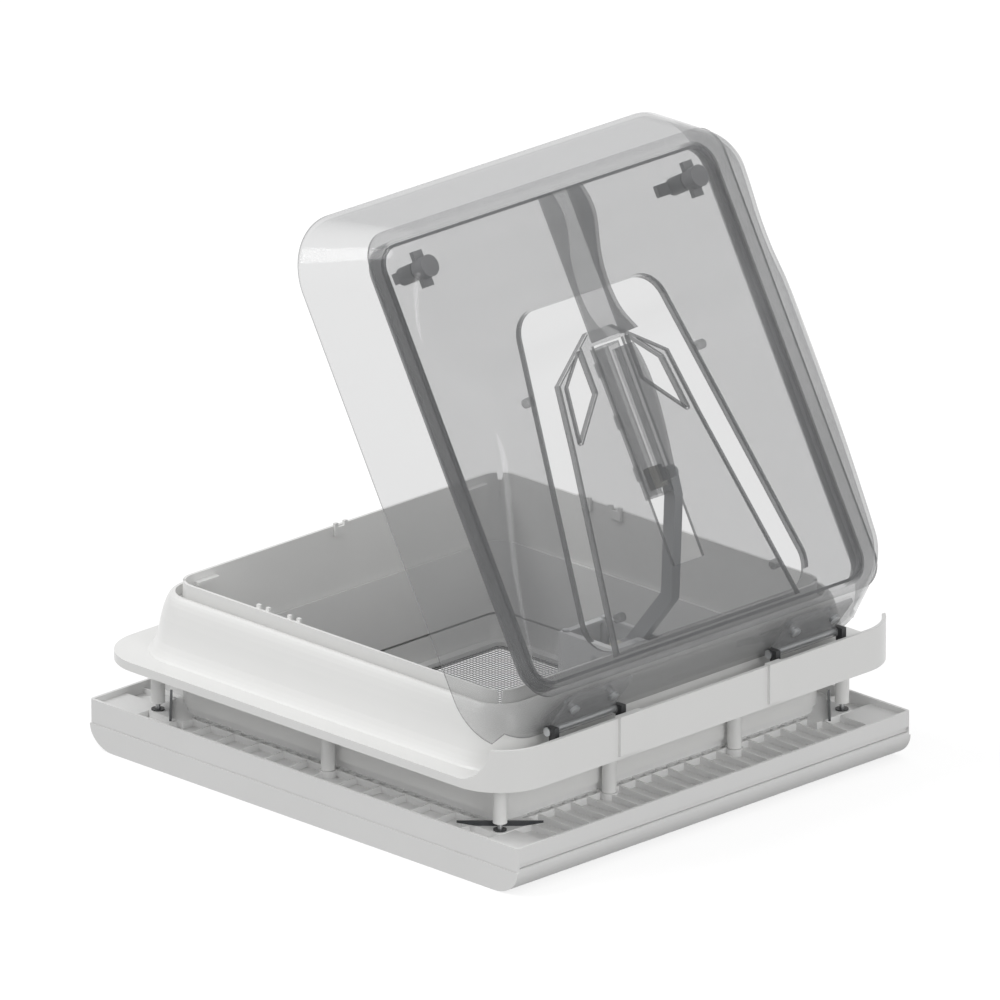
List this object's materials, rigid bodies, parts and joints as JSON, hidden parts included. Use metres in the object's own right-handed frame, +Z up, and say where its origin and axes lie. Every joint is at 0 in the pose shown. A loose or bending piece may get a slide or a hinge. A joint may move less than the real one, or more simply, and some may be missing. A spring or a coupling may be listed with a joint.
{
  "type": "caravan roof vent",
  "caption": "Caravan roof vent with a smoked clear lid wound open on a worm-driven lift arm, clamped through the roof between a white outer frame and a grey tray",
  "frame": {"origin": "centre of the roof cut-out, in the plane where the outer flange lies on the roof", "axes": "+Z up and out of the roof, +X towards the hinges, +Y along the hinge line"},
  "size_m": [0.4871, 0.465, 0.5035],
  "materials": {
    "shell": "white moulded ABS, light sheen",
    "tray": "light grey moulded plastic",
    "clear_dome": "smoked clear acrylic, glossy",
    "clear_liner": "clear acrylic, thinner, a little frosted",
    "frosted": "frosted translucent plastic",
    "seal": "dark grey foam rubber",
    "steel": "zinc-plated steel",
    "dark_steel": "dark grey strip steel",
    "black": "black reinforced plastic",
    "gearbox": "mid grey plastic",
    "arm": "grey reinforced plastic",
    "gear": "natural acetal",
    "net": "dark woven insect net"
  },
  "bodies": {
    "roof_frame": {"outer_frame": "shell", "screw_posts": "shell", "rim_clips": "shell", "latch_keepers": "shell", "inner_frame": "tray", "trim_cover": "tray", "screen_frame": "tray", "fly_screen": "net", "screen_clips": "tray", "clamp_screws": "steel", "clamp_washers": "black", "corner_clamps": "dark_steel", "bracket_screws": "steel", "hinge_bracket_right": "black", "hinge_pin_right": "steel", "hinge_bracket_left": "black", "hinge_pin_left": "steel", "gear_housing": "gearbox", "gear_cover": "gearbox", "cover_screws": "steel", "housing_screws": "steel", "shaft_bushes": "gear", "pivot_pin": "steel"},
    "lid": {"dome_cover": "clear_dome", "inner_pane": "clear_liner", "pane_seal": "seal", "spine_channel": "frosted", "lift_rail": "frosted", "lift_frame": "clear_liner", "pane_standoffs": "frosted", "leaf_screws": "steel", "hinge_leaf_right": "frosted", "hinge_leaf_left": "frosted", "latch_body_right": "black", "latch_body_left": "black"},
    "arm": {"lift_arm": "arm", "sector_gear": "gear", "tip_pin": "steel"},
    "slider": {"carriage": "gear"},
    "crank": {"crank_shaft": "steel", "worm": "gear", "crank_knob": "tray", "peg_pin": "steel"},
    "peg": {"crank_peg": "tray"},
    "latch_right": {"latch_lever_right": "black"},
    "latch_left": {"latch_lever_left": "black"}
  },
  "joints": [
    {"name": "lid_hinge", "type": "hinge", "parent": "roof_frame", "child": "lid", "pos_m": [0.2182, 0, 0.0375], "axis": [0, 1, 0], "range_deg": [-60.5, 0]},
    {"name": "arm_pivot", "type": "hinge", "parent": "roof_frame", "child": "arm", "pos_m": [0.132, 0, 0.04], "axis": [0, 1, 0], "range_deg": [-91.76, 0.3]},
    {"name": "carriage_pivot", "type": "hinge", "parent": "arm", "child": "slider", "pos_m": [0.1739, 0, 0.1978], "axis": [0, 1, 0], "range_deg": [-0.3, 31.26]},
    {"name": "crank_turn", "type": "hinge", "parent": "roof_frame", "child": "crank", "pos_m": [0.152, 0, -0.07], "axis": [0, 0, 1], "range_deg": [-2204.9, 10]},
    {"name": "peg_fold", "type": "hinge", "parent": "crank", "child": "peg", "pos_m": [0.1624, 0, -0.0772], "axis": [0, 1, 0], "range_deg": [-90, 0]},
    {"name": "latch_turn_right", "type": "hinge", "parent": "lid", "child": "latch_right", "pos_m": [0.0518, 0.152, 0.37731], "axis": [0.8704, 0, 0.4924], "range_deg": [-90, 0]},
    {"name": "latch_turn_left", "type": "hinge", "parent": "lid", "child": "latch_left", "pos_m": [0.0518, -0.152, 0.37731], "axis": [0.8704, 0, 0.4924], "range_deg": [0, 90]}
  ],
  "couplings": [
    {"joint": "arm_pivot", "follows": "lid_hinge", "ratio": 1.5117},
    {"joint": "carriage_pivot", "follows": "lid_hinge", "ratio": -0.51166},
    {"joint": "crank_turn", "follows": "lid_hinge", "ratio": 36.28}
  ]
}
